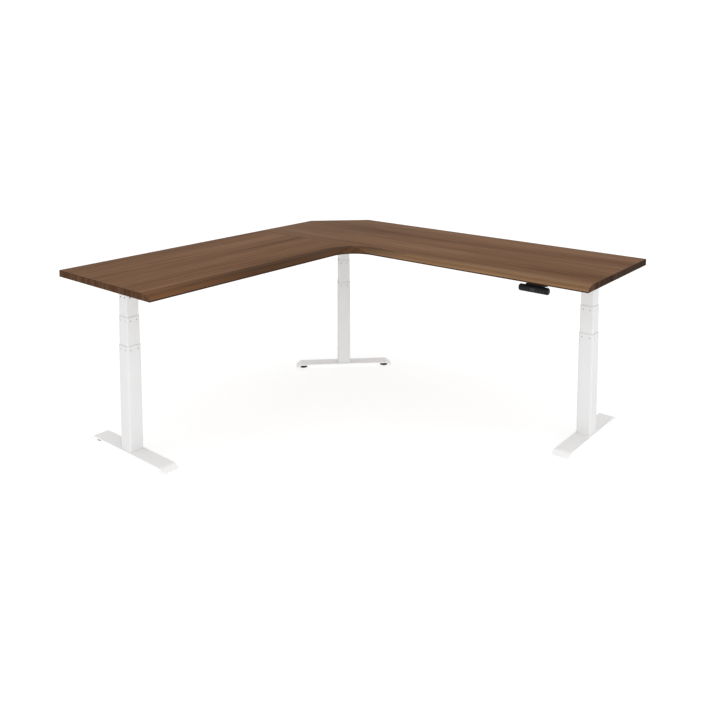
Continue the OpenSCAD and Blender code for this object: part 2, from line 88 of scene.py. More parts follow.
def add(tree, kind, values=None, **settings):
    """A node with its settings; a value is a number, a colour or another node's socket."""
    made = tree.nodes.new("ShaderNode" + kind)
    for key, value in settings.items():
        setattr(made, key, value)
    for key, value in (values or {}).items():
        if isinstance(value, bpy.types.NodeSocket):
            tree.links.new(value, made.inputs[key])
        else:
            made.inputs[key].default_value = value
    return made


def new_material(name):
    made = bpy.data.materials.new(name)
    made.use_nodes = True
    made.node_tree.nodes.clear()
    return made, made.node_tree


def close_material(tree, colour, roughness, height=None, bump=0.2, distance=0.0005, **fixed):
    """The Principled shader and output; fixed values go straight on its own sockets."""
    shader = add(tree, "BsdfPrincipled")
    for key, value in (("Base Color", colour), ("Roughness", roughness)):
        if isinstance(value, bpy.types.NodeSocket):
            tree.links.new(value, shader.inputs[key])
        elif key == "Base Color":
            shader.inputs[key].default_value = (*value, 1.0)
        else:
            shader.inputs[key].default_value = value
    for key, value in fixed.items():
        shader.inputs[key.replace("_", " ")].default_value = value
    if height is not None:
        bumps = add(tree, "Bump", {"Strength": bump, "Distance": distance, "Height": height})
        tree.links.new(bumps.outputs["Normal"], shader.inputs["Normal"])
    end = add(tree, "OutputMaterial")
    tree.links.new(shader.outputs["BSDF"], end.inputs["Surface"])


def make_surface_grain():
    """Fine orange-peel or moulded texture, with faint cloudy variation over it."""
    group, given, result = new_group(
        "surface_grain",
        [("Vector", "NodeSocketVector", None), ("Size", "NodeSocketFloat", 0.001),
         ("Colour", "NodeSocketColor", (0.8, 0.8, 0.8, 1.0)), ("Variation", "NodeSocketFloat", 0.03),
         ("Roughness", "NodeSocketFloat", 0.5)],
        [("Colour", "NodeSocketColor"), ("Roughness", "NodeSocketFloat"), ("Height", "NodeSocketFloat")])
    scale = add(group, "Math", {0: 1.0, 1: given["Size"]}, operation="DIVIDE").outputs[0]
    fine = add(group, "TexNoise", {"Vector": given["Vector"], "Scale": scale, "Detail": 2.0,
                                   "Roughness": 0.6})
    cloud = add(group, "TexNoise", {"Vector": given["Vector"], "Scale": 7.0, "Detail": 5.0,
                                    "Roughness": 0.62})
    swing = add(group, "MapRange", {"Value": cloud.outputs["Fac"], "From Min": 0.3, "From Max": 0.7,
                                    "To Min": -1.0, "To Max": 1.0}).outputs[0]
    shade = add(group, "Math", {0: swing, 1: given["Variation"]}, operation="MULTIPLY").outputs[0]
    lift = add(group, "Math", {0: shade, 1: 1.0}, operation="ADD").outputs[0]
    tinted = add(group, "VectorMath", {0: given["Colour"], "Scale": lift}, operation="SCALE").outputs[0]
    rougher = add(group, "Math", {0: shade, 1: 1.5, 2: given["Roughness"]}, operation="MULTIPLY_ADD")
    group.links.new(tinted, result["Colour"])
    group.links.new(rougher.outputs[0], result["Roughness"])
    group.links.new(fine.outputs["Fac"], result["Height"])
    return group


SURFACE_GRAIN = make_surface_grain()


def grained_material(name, colour, roughness, grain, bump, variation=0.03, **fixed):
    """A painted or moulded finish on the surface_grain group."""
    made, tree = new_material(name)
    place = add(tree, "TexCoord").outputs["Object"]
    grained = add(tree, "Group", node_tree=SURFACE_GRAIN)
    tree.links.new(place, grained.inputs["Vector"])
    grained.inputs["Size"].default_value = grain
    grained.inputs["Colour"].default_value = (*colour, 1.0)
    grained.inputs["Variation"].default_value = variation
    grained.inputs["Roughness"].default_value = roughness
    close_material(tree, grained.outputs["Colour"], grained.outputs["Roughness"],
                   grained.outputs["Height"], bump, grain * 0.4, **fixed)
    return made


def powder_coat(name, shade):
    """White powder coat; the shade is its lightness."""
    return grained_material(name, (shade, shade, shade), 0.55, 0.0011, 0.2, 0.012,
                            Specular_IOR_Level=0.25)


# The columns' white coat painted lighter: painted light on the foot tops, which lie in the desk's shade.
FOOT_COAT_PAINTED_LIGHTER = powder_coat("white_foot_coat_painted_lighter", 0.84)
SMOOTH_ANGLE = 35.0


def finish(bm, name, materials, body, nodes, smooth_angle=SMOOTH_ANGLE, bevel=0.0,
           segments=2):
    """Turns a bmesh into a finished piece in place of its CAD nodes."""
    bmesh.ops.recalc_face_normals(bm, faces=bm.faces)
    mesh = bpy.data.meshes.new(name)
    bm.to_mesh(mesh)
    bm.free()
    mesh.shade_smooth()
    mesh.set_sharp_from_angle(angle=radians(smooth_angle))
    piece = bpy.data.objects.new(name, mesh)
    bpy.context.scene.collection.objects.link(piece)
    for material in materials:
        mesh.materials.append(material)
    if bevel:
        rounding = piece.modifiers.new("edges", "BEVEL")
        rounding.width = bevel
        rounding.segments = segments
        rounding.limit_method = "ANGLE"
        rounding.angle_limit = radians(smooth_angle)
        rounding.harden_normals = True
    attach(piece, body)
    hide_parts(*nodes)
    return piece


def extrude_by(bm, faces, shift):
    """Grows faces into a solid along a shift."""
    grown = bmesh.ops.extrude_face_region(bm, geom=faces)["geom"]
    moved = [part for part in grown if isinstance(part, bmesh.types.BMVert)]
    bmesh.ops.translate(bm, verts=moved, vec=shift)


def foot_mesh():
    """The bent plate, along X with its middle over the origin."""
    flat = FOOT_LENGTH / 2 - LIP_RUN
    bend = atan2(LIP_DROP, LIP_RUN)
    inner = flat - FOOT_PLATE * tan(bend / 2)
    tip = (FOOT_LENGTH / 2 - FOOT_PLATE * sin(bend), FOOT_TOP - LIP_DROP - FOOT_PLATE * cos(bend))
    half = [(FOOT_LENGTH / 2, FOOT_TOP - LIP_DROP), tip, (inner, FOOT_TOP - FOOT_PLATE)]
    side = [(flat, FOOT_TOP)] + half + [(-x, z) for x, z in reversed(half)] + [(-flat, FOOT_TOP)]
    bm = bmesh.new()
    corners = [bm.verts.new((x, -FOOT_WIDTH / 2, z)) for x, z in side]
    extrude_by(bm, [bm.faces.new(corners)], (0, FOOT_WIDTH, 0))
    # The four plan corners are the short edges through the plate's thickness at its tips
    tips = [e for e in bm.edges
            if all(abs(v.co.x) > tip[0] - MM / 2 for v in e.verts)
            and abs(e.verts[0].co.y - e.verts[1].co.y) < MM / 2]
    bmesh.ops.bevel(bm, geom=tips, offset=FOOT_CORNER, segments=6, profile=0.5, affect="EDGES",
                    material=-1)
    folds = [e for e in bm.edges
             if abs(e.verts[0].co.y - e.verts[1].co.y) > FOOT_WIDTH / 2
             and abs(abs(e.verts[0].co.x) - flat) < FOLD_REACH]
    bmesh.ops.bevel(bm, geom=folds, offset=FOLD_RADIUS, segments=5, profile=0.5, affect="EDGES",
                    material=-1)
    return bm


for leg in LEGS:
    plate = foot_mesh()
    bmesh.ops.transform(plate, matrix=leg_place(leg), verts=plate.verts)
    finish(plate, leg + "_foot_plate", [FOOT_COAT_PAINTED_LIGHTER], leg + "_base",
           [leg + "_foot"], smooth_angle=30.0, bevel=FOOT_ARRIS, segments=3)

# ---------------------------------------------------------------------------
# Foot bolts. Four M8 button-head bolts hold each column to its foot from
# below; zinc plated with a fine brushed look.
# ---------------------------------------------------------------------------


def ramp(tree, factor, stops):
    """A colour ramp through (place, colour) stops."""
    made = add(tree, "ValToRGB", {"Fac": factor})
    elements = made.color_ramp.elements
    while len(elements) < len(stops):
        elements.new(0.5)
    for element, (place, colour) in zip(elements, stops):
        element.position = place
        element.color = (*colour, 1.0)
    return made.outputs["Color"]


def stretched(tree, vector, scale):
    """Object coordinates squeezed so that a pattern runs long along one axis."""
    return add(tree, "Mapping", {"Vector": vector, "Scale": scale}).outputs["Vector"]


def coat_nodes(material, *nodes):
    """Gives CAD nodes whose shape is right a finished material."""
    for node in nodes:
        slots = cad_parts[node].data.materials
        slots.clear()
        slots.append(material)


def brushed_material(name, colour, roughness, across):
    """Bare or plated metal with fine lines along Z or all over."""
    made, tree = new_material(name)
    place = add(tree, "TexCoord").outputs["Object"]
    lines = add(tree, "TexNoise", {"Vector": stretched(tree, place, across), "Scale": 1.0,
                                   "Detail": 3.0, "Roughness": 0.6}).outputs["Fac"]
    cloud = add(tree, "TexNoise", {"Vector": place, "Scale": 40.0, "Detail": 4.0}).outputs["Fac"]
    dark = tuple(0.82 * part for part in colour)
    tint = ramp(tree, cloud, [(0.3, dark), (0.7, colour)])
    gloss = add(tree, "MapRange", {"Value": lines, "From Min": 0.3, "From Max": 0.7,
                                   "To Min": roughness - 0.08, "To Max": roughness + 0.1})
    close_material(tree, tint, gloss.outputs[0], lines, 0.15, 0.0002, Metallic=1.0)
    return made


ZINC = brushed_material("zinc_plate", (0.56, 0.57, 0.58), 0.38, (900.0, 900.0, 900.0))
GROUND_STEEL = brushed_material("ground_steel", (0.62, 0.63, 0.64), 0.3, (2500.0, 2500.0, 160.0))

coat_nodes(ZINC, *(leg + "_foot_bolts" for leg in LEGS))

# ---------------------------------------------------------------------------
# Levelling glides. A turned pad of black nylon with a domed rim, moulded over
# a hexagon and an M8 stud that screws up into the foot. Screwed right up, the
# stud still ends just under the foot's upper face.
# ---------------------------------------------------------------------------

NYLON = grained_material("black_nylon", (0.016, 0.016, 0.017), 0.5, 0.0008, 0.2, 0.25)
STUD_RADIUS = 3.9 * MM
HEX_RADIUS = 8.5 * MM
PAD_HEIGHT = 7.5 * MM
HEX_TOP = 12.5 * MM
PAD_ROUND = 2.4 * MM
GLIDE_TRAVEL = 5 * MM
SOLE_ROUND = 1 * MM
SOLE_HOLLOW = 0.6 * MM
NUT_RECESS = 0.8 * MM
RECESS_GAP = 1.5 * MM
SUNK = 1 * MM
PAD_ARRIS = 0.4 * MM


def spun(bm, outline, steps):
    """Turns an outline of (radius, height) points once round Z."""
    verts = [bm.verts.new((r, 0, z)) for r, z in outline]
    edges = [bm.edges.new(pair) for pair in zip(verts, verts[1:])]
    bmesh.ops.spin(bm, geom=verts + edges, cent=(0, 0, 0), axis=(0, 0, 1), dvec=(0, 0, 0),
                   angle=2 * pi, steps=steps, use_merge=True, use_duplicate=False)
    bmesh.ops.remove_doubles(bm, verts=bm.verts, dist=1e-6)


def arc(centre, radius, start, end, count):
    """Points on a round stretch of an outline, with angles in degrees."""
    return [(centre[0] + radius * cos(radians(start + (end - start) * i / count)),
             centre[1] + radius * sin(radians(start + (end - start) * i / count)))
            for i in range(count + 1)]


def rod(bm, radius, low, high, sides):
    """An upright rod over the origin, with its vertices given back."""
    made = bmesh.ops.create_cone(bm, cap_ends=True, segments=sides, radius1=radius, radius2=radius,
                                 depth=high - low)["verts"]
    bmesh.ops.translate(bm, verts=made, vec=(0, 0, (low + high) / 2))
    return made


def glide_mesh(radius, top):
    """Pad, hexagon and stud, standing on the origin."""
    bm = bmesh.new()
    rim = arc((radius - PAD_ROUND, PAD_HEIGHT - PAD_ROUND), PAD_ROUND, 0, 90, 6)
    sole = arc((radius - SOLE_ROUND, SOLE_ROUND), SOLE_ROUND, -90, 0, 4)
    neck = [(HEX_RADIUS + 2 * RECESS_GAP, PAD_HEIGHT),
            (HEX_RADIUS + RECESS_GAP, PAD_HEIGHT - NUT_RECESS), (0, PAD_HEIGHT - NUT_RECESS)]
    hollow = [(0, SOLE_HOLLOW), (radius * 0.7, SOLE_HOLLOW), (radius * 0.74, 0)]
    spun(bm, hollow + sole + rim + neck, 56)
    rod(bm, HEX_RADIUS, PAD_HEIGHT - SUNK, HEX_TOP, 6)
    rod(bm, STUD_RADIUS, HEX_TOP - SUNK, top, 24)
    return bm


for leg in LEGS:
    for side in ("a", "b"):
        node = f"{leg}_glide_{side}"
        low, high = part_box(node)
        pad = glide_mesh((high.x - low.x) / 2, high.z - GLIDE_TRAVEL)
        bmesh.ops.translate(pad, verts=pad.verts,
                            vec=((low.x + high.x) / 2, (low.y + high.y) / 2, low.z))
        finish(pad, f"{leg}_levelling_glide_{side}", [NYLON], node, [node],
               bevel=PAD_ARRIS)

# ---------------------------------------------------------------------------
# Column tubes. Three square steel tubes run one in another. Under the mouth of
# the lower and the middle tube, two small holes in each face hold the pegs of
# the slide bush. The tubes have the same powder coat as the feet; the feet's is
# painted lighter, as painted light on their tops.
# ---------------------------------------------------------------------------

POWDER_COAT = powder_coat("white_powder_coat", 0.665)
TUBE_WALL = 1.5 * MM
CORNER_STEPS = 8
TUBE_ARRIS = 0.35 * MM
PEG_HOLE = 3.1 * MM
PEG_DROP = 18 * MM
PEG_SIDE = 17 * MM
PEG_CUT = 8 * MM
TUBE_CORNER = {"lower": 8 * MM, "mid": 5.5 * MM}


def tube_mesh(width, corner, low, high):
    """A square tube with rounded corners, upright over the origin."""
    bm = bmesh.new()
    bmesh.ops.create_grid(bm, x_segments=1, y_segments=1, size=width / 2)
    bmesh.ops.bevel(bm, geom=bm.verts[:], offset=corner, segments=CORNER_STEPS, profile=0.5,
                    affect="VERTICES", material=-1)
    face = bm.faces[:]
    bmesh.ops.inset_region(bm, faces=face, thickness=TUBE_WALL, use_even_offset=True,
                           use_boundary=True)
    bmesh.ops.delete(bm, geom=face, context="FACES")
    extrude_by(bm, bm.faces[:], (0, 0, high - low))
    bmesh.ops.translate(bm, verts=bm.verts, vec=(0, 0, low))
    return bm


def peg_cutter(width, height):
    """Eight short rods through the faces of a tube."""
    bm = bmesh.new()
    for quarter in range(4):
        for s in (-1, 1):
            peg = rod(bm, PEG_HOLE, -PEG_CUT / 2, PEG_CUT / 2, 20)
            bmesh.ops.rotate(bm, verts=peg, matrix=Matrix.Rotation(pi / 2, 3, "X"))
            bmesh.ops.translate(bm, verts=peg, vec=(s * (width / 2 - PEG_SIDE), -width / 2, height))
            bmesh.ops.rotate(bm, verts=peg, matrix=Matrix.Rotation(quarter * pi / 2, 3, "Z"))
    return bm


def cut_away(piece, cutter_mesh):
    """Takes the cutter's shape out of a piece for good."""
    data = bpy.data.meshes.new("cutter")
    cutter_mesh.to_mesh(data)
    cutter_mesh.free()
    cutter = bpy.data.objects.new("cutter", data)
    bpy.context.scene.collection.objects.link(cutter)
    cut = piece.modifiers.new("cut", "BOOLEAN")
    cut.operation = "DIFFERENCE"
    cut.solver = "EXACT"
    cut.object = cutter
    piece.modifiers.move(piece.modifiers.find("cut"), 0)
    bpy.context.view_layer.update()
    with bpy.context.temp_override(object=piece, active_object=piece):
        bpy.ops.object.modifier_apply(modifier="cut")
    bpy.data.objects.remove(cutter)
    piece.data.set_sharp_from_angle(angle=radians(SMOOTH_ANGLE))


def box_width(node):
    """How wide a node is along X."""
    low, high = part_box(node)
    return high.x - low.x


LOWER_WIDTH = box_width("left_lower_tube")
MID_WIDTH = box_width("left_mid_tube")

for leg in LEGS:
    for stage, body, width in (("lower", "base", LOWER_WIDTH), ("mid", "middle", MID_WIDTH)):
        node = f"{leg}_{stage}_tube"
        low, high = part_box(node)
        place = leg_place(leg)
        tube = tube_mesh(width, TUBE_CORNER[stage], low.z, high.z)
        bmesh.ops.transform(tube, matrix=place, verts=tube.verts)
        piece = finish(tube, f"{leg}_{stage}_column", [POWDER_COAT], f"{leg}_{body}",
                       [node], bevel=TUBE_ARRIS)
        cutter = peg_cutter(width, high.z - PEG_DROP)
        bmesh.ops.transform(cutter, matrix=place, verts=cutter.verts)
        cut_away(piece, cutter)

coat_nodes(POWDER_COAT, *(leg + "_upper_tube" for leg in LEGS))

# ---------------------------------------------------------------------------
# Motor screws. Two small black countersunk screws in each face near the top of
# the upper tube hold the motor and gearbox inside it; their heads lie flush, so
# that they pass into the middle tube.
# ---------------------------------------------------------------------------

BLACK_SCREW = grained_material("black_oxide_screw", (0.03, 0.03, 0.032), 0.4, 0.0004, 0.1, 0.2,
                               Metallic=0.6)
SCREW_RADIUS = 3.4 * MM
SCREW_DROP = 33 * MM
HEAD_PLATE = 6 * MM
SCREW_PROUD = 0.1 * MM
SCREW_SUNK = 0.5 * MM


def flush_head(radius, proud):
    """A flat head with a shallow socket, its seat at the origin and its axis along Z."""
    bm = bmesh.new()
    spun(bm, [(0, -SCREW_SUNK), (radius, -SCREW_SUNK), (radius, 0.5 * proud),
              (radius - 0.5 * proud, proud), (0.5 * radius, proud),
              (0.45 * radius, 0.4 * proud), (0, 0.4 * proud)], 24)
    return bm


WIDTH_STEP = 5 * MM
UPPER_WIDTH = MID_WIDTH - WIDTH_STEP
UPPER_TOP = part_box("left_upper_tube")[1].z
for leg in LEGS:
    screws = bmesh.new()
    for quarter in range(4):
        for s in (-1, 1):
            head = flush_head(SCREW_RADIUS, SCREW_PROUD)
            place = (leg_place(leg) @ Matrix.Rotation(quarter * pi / 2, 4, "Z")
                     @ Matrix.Translation((s * (UPPER_WIDTH / 2 - PEG_SIDE), -UPPER_WIDTH / 2,
                                           UPPER_TOP - HEAD_PLATE - SCREW_DROP))
                     @ Matrix.Rotation(pi / 2, 4, "X"))
            bmesh.ops.transform(head, matrix=place, verts=head.verts)
            spare = bpy.data.meshes.new("spare")
            head.to_mesh(spare)
            head.free()
            screws.from_mesh(spare)
            bpy.data.meshes.remove(spare)
    finish(screws, leg + "_motor_screws", [BLACK_SCREW], "top", [])

# ---------------------------------------------------------------------------
# Slide bushes. Grey acetal rings fill the gap between two tubes; the pegs of
# the upper rings show in the holes under each mouth.
# ---------------------------------------------------------------------------

ACETAL = grained_material("grey_acetal", (0.30, 0.30, 0.31), 0.42, 0.0006, 0.1, 0.05)
coat_nodes(ACETAL, "upper_slide_rings", *(leg + "_lower_bush" for leg in LEGS),
           *(leg + "_mid_slide_rings" for leg in LEGS))

# ---------------------------------------------------------------------------
# Lifting gear. Inside each column a motor and gearbox turn two screws, one in
# the other, that run in a nut on the post and a nut in the bearing block.
# ---------------------------------------------------------------------------

NUT_ACETAL = grained_material("nut_acetal", (0.62, 0.52, 0.30), 0.4, 0.0006, 0.1, 0.05)
GLASS_FILLED = grained_material("glass_filled_moulding", (0.035, 0.035, 0.038), 0.55, 0.0009, 0.3,
                                0.2)
for leg in LEGS:
    coat_nodes(GROUND_STEEL, leg + "_outer_screw", leg + "_inner_screw")
    coat_nodes(ZINC, leg + "_spindle_post")
    coat_nodes(NUT_ACETAL, leg + "_post_nut")
    coat_nodes(GLASS_FILLED, leg + "_bearing_block")
coat_nodes(GLASS_FILLED, "lift_motors")
coat_nodes(GROUND_STEEL, "gearboxes")

# ---------------------------------------------------------------------------
# Frame. Rectangular tube rails bolted to the column heads, with an angle
# bracket under each free end, screwed up against the desktops.
# ---------------------------------------------------------------------------

coat_nodes(POWDER_COAT, "main_rails", "return_rails", "end_brackets")
coat_nodes(ZINC, "frame_bolts", "top_screws", "seam_plates")

# ---------------------------------------------------------------------------
# Desktops. Two walnut tops meet at a butt seam across the corner. The user's
# edge is shaped to a long rounded slope that runs round the inner corner; the
# wall edges and the ends are square, with the end grain showing.
# ---------------------------------------------------------------------------

main_low, main_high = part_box("main_top")
return_low, return_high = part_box("return_top")
X_OUT, X_END = main_low.x, main_high.x
Y_OUT, Y_IN, Y_END = main_high.y, main_low.y, return_low.y
UNDERSIDE, DESK_TOP = main_low.z, main_high.z
WING_DEPTH = Y_OUT - Y_IN
X_IN = X_OUT + WING_DEPTH
INNER_RADIUS = return_high.x - X_IN
CHOP = 260 * MM
EDGE_WIDTH = 55 * MM
EDGE_LIP = 6 * MM
SEAM_GAP = 0.1 * MM
ARC_STEPS = 32
SLOPE_STEPS = 9
SLOPE_BULGE = 0.72
DESK_ARRIS = 0.7 * MM
# A face is level or upright by how far its normal points up
LEVEL_FACE = 0.999
UPRIGHT_FACE = 0.03
TOP_FACE, WALL_EDGE, MAIN_SLOPE, RETURN_SLOPE, LIP = range(5)


def make_walnut_figure():
    """Walnut figure running along X: broad bands, flowing lines, fine streaks and pores."""
    group, given, result = new_group(
        "walnut_figure",
        [("Vector", "NodeSocketVector", None), ("Tint", "NodeSocketVector", (1.0, 1.0, 1.0)),
         ("Contrast", "NodeSocketFloat", 1.0)],
        [("Colour", "NodeSocketColor"), ("Roughness", "NodeSocketFloat"), ("Height", "NodeSocketFloat")])
    place = given["Vector"]

    def layer(scale, detail, rough, distortion=0.0):
        return add(group, "TexNoise", {"Vector": stretched(group, place, scale), "Scale": 1.0,
                                       "Detail": detail, "Roughness": rough,
                                       "Distortion": distortion}).outputs["Fac"]

    broad = layer((0.55, 7.0, 7.0), 3.0, 0.5, 0.4)
    streaks = layer((1.6, 42.0, 42.0), 4.0, 0.62, 0.3)
    hairs = layer((7.0, 330.0, 330.0), 3.0, 0.6)
    pores = layer((38.0, 1500.0, 1500.0), 1.0, 0.5)
    flow = add(group, "TexWave", {"Vector": stretched(group, place, (0.5, 9.0, 9.0)), "Scale": 1.0,
                                  "Distortion": 5.0, "Detail": 3.0, "Detail Scale": 0.7,
                                  "Detail Roughness": 0.55},
               wave_type="BANDS", bands_direction="Y", wave_profile="SIN").outputs["Fac"]

    def weigh(value, weight, rest):
        centred = add(group, "Math", {0: value, 1: 0.5}, operation="SUBTRACT").outputs[0]
        return add(group, "Math", {0: centred, 1: weight, 2: rest}, operation="MULTIPLY_ADD").outputs[0]

    total = weigh(broad, 0.95, 0.0)
    total = weigh(streaks, 0.75, total)
    total = weigh(flow, 0.16, total)
    total = weigh(hairs, 0.35, total)
    figure = add(group, "Math", {0: total, 1: given["Contrast"], 2: 0.5},
                 operation="MULTIPLY_ADD").outputs[0]
    wood = ramp(group, figure, [(0.10, (0.085, 0.036, 0.015)), (0.38, (0.145, 0.068, 0.031)),
                                (0.58, (0.180, 0.088, 0.042)), (0.90, (0.250, 0.130, 0.065))])
    pore = add(group, "MapRange", {"Value": pores, "From Min": 0.62, "From Max": 0.74,
                                   "To Min": 1.0, "To Max": 0.62}).outputs[0]
    shade = add(group, "VectorMath", {0: given["Tint"], "Scale": pore}, operation="SCALE").outputs[0]
    coloured = add(group, "VectorMath", {0: wood, 1: shade}, operation="MULTIPLY").outputs[0]
    gloss = add(group, "MapRange", {"Value": figure, "From Min": 0.2, "From Max": 0.8,
                                    "To Min": 0.66, "To Max": 0.56}).outputs[0]
    depth = add(group, "Math", {0: pore, 1: 0.6, 2: hairs}, operation="MULTIPLY_ADD").outputs[0]
    group.links.new(coloured, result["Colour"])
    group.links.new(gloss, result["Roughness"])
    group.links.new(depth, result["Height"])
    return group


WALNUT_FIGURE = make_walnut_figure()


def walnut_material(name, turn, shift, tint, contrast=1.0, scale=(1.0, 1.0, 1.0), fade=None):
    """Lacquered walnut whose grain is turned and shifted on its board.

    A fade (axis, start, end, share at start, share at end) changes its shade along the board.
    """
    made, tree = new_material(name)
    place = add(tree, "TexCoord").outputs["Object"]
    laid = add(tree, "Mapping", {"Vector": place, "Location": shift, "Rotation": turn,
                                 "Scale": scale}).outputs["Vector"]
    figure = add(tree, "Group", node_tree=WALNUT_FIGURE)
    tree.links.new(laid, figure.inputs["Vector"])
    figure.inputs["Tint"].default_value = tint
    figure.inputs["Contrast"].default_value = contrast
    if fade:
        axis, start, end, share_start, share_end = fade
        along = add(tree, "SeparateXYZ", {"Vector": place}).outputs[axis]
        share = add(tree, "MapRange", {"Value": along, "From Min": start, "From Max": end,
                                       "To Min": share_start, "To Max": share_end}).outputs[0]
        shade = add(tree, "VectorMath", {0: tint, "Scale": share}, operation="SCALE").outputs[0]
        tree.links.new(shade, figure.inputs["Tint"])
    close_material(tree, figure.outputs["Colour"], figure.outputs["Roughness"],
                   figure.outputs["Height"], 0.12, 0.0004, Specular_IOR_Level=0.05)
    return made


ALONG_X = (0.0, 0.0, 0.0)
ALONG_Y = (0.0, 0.0, pi / 2)
UPRIGHT = (0.0, pi / 2, 0.0)
FACE_TINT = (0.93, 0.92, 0.86)
# Painted shade: the slope round the inner corner is darker where it turns away from the light.
CORNER_PAINTED_SHADE = (0.66, 0.64, 0.62)
MAIN_WALNUT = [
    walnut_material("walnut_main_face", ALONG_X, (0.3, 0.0, 0.0), FACE_TINT,
                    fade=("X", -0.70, -0.10, 0.86, 1.03)),
    # The end grain is darker than the face, and darker still as painted shade on the upright faces; on
    # the main wing it also darkens towards the wall.
    walnut_material("walnut_main_end", UPRIGHT, (0.0, 0.4, 0.0), (0.27, 0.23, 0.18), 1.8,
                    (6.0, 1.0, 1.0), fade=("Y", 0.38, 0.65, 1.0, 0.6)),
    # Painted light: the main slope is lighter than the face where it faces the front, with painted shade
    # darkening it towards the inner corner.
    walnut_material("walnut_main_slope_painted_light", ALONG_X, (0.3, 0.7, 0.0), (1.16, 1.34, 1.42),
                    fade=("X", -0.22, 0.05, 0.6, 1.0)),
    walnut_material("walnut_main_corner_painted_shade", ALONG_X, (0.3, 0.7, 0.0), CORNER_PAINTED_SHADE),
    # Painted shade: the narrow upright lip under the slope is made dark.
    walnut_material("walnut_main_lip_painted_shade", ALONG_X, (0.3, 0.7, 0.0), (0.27, 0.26, 0.27))]
RETURN_WALNUT = [
    walnut_material("walnut_return_face", ALONG_Y, (1.7, 0.2, 0.0), FACE_TINT),
    # The end grain is darker than the face, and darker still as painted shade on the upright faces.
    walnut_material("walnut_return_end", UPRIGHT, (0.0, 1.3, 0.0), (0.40, 0.38, 0.36), 1.6,
                    (6.0, 1.0, 1.0)),
    walnut_material("walnut_return_corner_painted_shade", ALONG_Y, (1.7, 0.9, 0.0), CORNER_PAINTED_SHADE),
    # Painted shade: the return's slope faces away from the front and is darker than the face, deepening
    # towards the inner corner.
    walnut_material("walnut_return_slope_painted_shade", ALONG_Y, (1.7, 0.9, 0.0), (0.80, 0.79, 0.76),
                    fade=("Y", -0.95, -0.40, 1.22, 0.54)),
    # Painted shade: the narrow upright lip under the slope is made dark.
    walnut_material("walnut_return_lip_painted_shade", ALONG_Y, (1.7, 0.9, 0.0), (0.20, 0.19, 0.18))]


def edge_path():
    """Points of the user's edge with their inward directions, from the main wing's end."""
    centre = Vector((X_IN + INNER_RADIUS, Y_IN - INNER_RADIUS, 0))
    path = [(Vector((X_END, Y_IN, 0)), Vector((0, 1, 0)))]
    for i in range(ARC_STEPS + 1):
        angle = pi / 2 + pi / 2 * i / ARC_STEPS
        away = Vector((cos(angle), sin(angle), 0))
        path.append((centre + INNER_RADIUS * away, away))
    path.append((Vector((X_IN, Y_END, 0)), Vector((-1, 0, 0))))
    return path


def slope_profile():
    """(distance in from the edge, height) of the rounded slope, from the lip up."""
    rise = DESK_TOP - UNDERSIDE - EDGE_LIP
    turns = [pi / 2 * i / SLOPE_STEPS for i in range(SLOPE_STEPS + 1)]
    straight = (1 - SLOPE_BULGE) / SLOPE_STEPS
    return [(EDGE_WIDTH * (straight * i + SLOPE_BULGE * (1 - cos(a))),
             EDGE_LIP + rise * (straight * i + SLOPE_BULGE * sin(a)))
            for i, a in enumerate(turns)]


def chain_order(vert, below):
    """Place of a new vertex in its row: it still lies on the vertex that it grew from."""
    return min(range(len(below)), key=lambda i: (below[i].co - vert.co).length_squared)


def close_holes(bm):
    bmesh.ops.holes_fill(bm, edges=[e for e in bm.edges if e.is_boundary], sides=0)


def desk_mesh():
    """Both wings in one closed mesh, grown up from the user's edge."""
    bm = bmesh.new()
    path = edge_path()
    chain = [bm.verts.new((*p.xy, UNDERSIDE)) for p, _ in path]
    edges = [bm.edges.new(pair) for pair in zip(chain, chain[1:])]
    wall = [Vector((X_OUT, Y_END, 0)), Vector((X_OUT, Y_OUT - CHOP, 0)),
            Vector((X_OUT + CHOP, Y_OUT, 0)), Vector((X_END, Y_OUT, 0))]
    below = chain[:]
    for inset, height in slope_profile():
        grown = bmesh.ops.extrude_edge_only(bm, edges=edges)["geom"]
        edges = [e for e in grown if isinstance(e, bmesh.types.BMEdge)]
        row = sorted((v for v in grown if isinstance(v, bmesh.types.BMVert)),
                     key=lambda v: chain_order(v, below))
        for vert, (point, inward) in zip(row, path):
            vert.co = (*(point + inset * inward).xy, UNDERSIDE + height)
        below = row
    low_wall = [bm.verts.new((*p.xy, UNDERSIDE)) for p in wall]
    high_wall = [bm.verts.new((*p.xy, DESK_TOP)) for p in wall]
    bm.faces.new(chain + low_wall)
    bm.faces.new(below + high_wall)
    for i in range(len(wall) - 1):
        bm.faces.new((low_wall[i], low_wall[i + 1], high_wall[i + 1], high_wall[i]))
    close_holes(bm)
    bmesh.ops.recalc_face_normals(bm, faces=bm.faces)
    return bm


def split(bm, place, facing, **cleared):
    """Cuts every face along a plane; cleared says which side goes."""
    bmesh.ops.bisect_plane(bm, geom=bm.verts[:] + bm.edges[:] + bm.faces[:], plane_co=place,
                           plane_no=facing, **cleared)


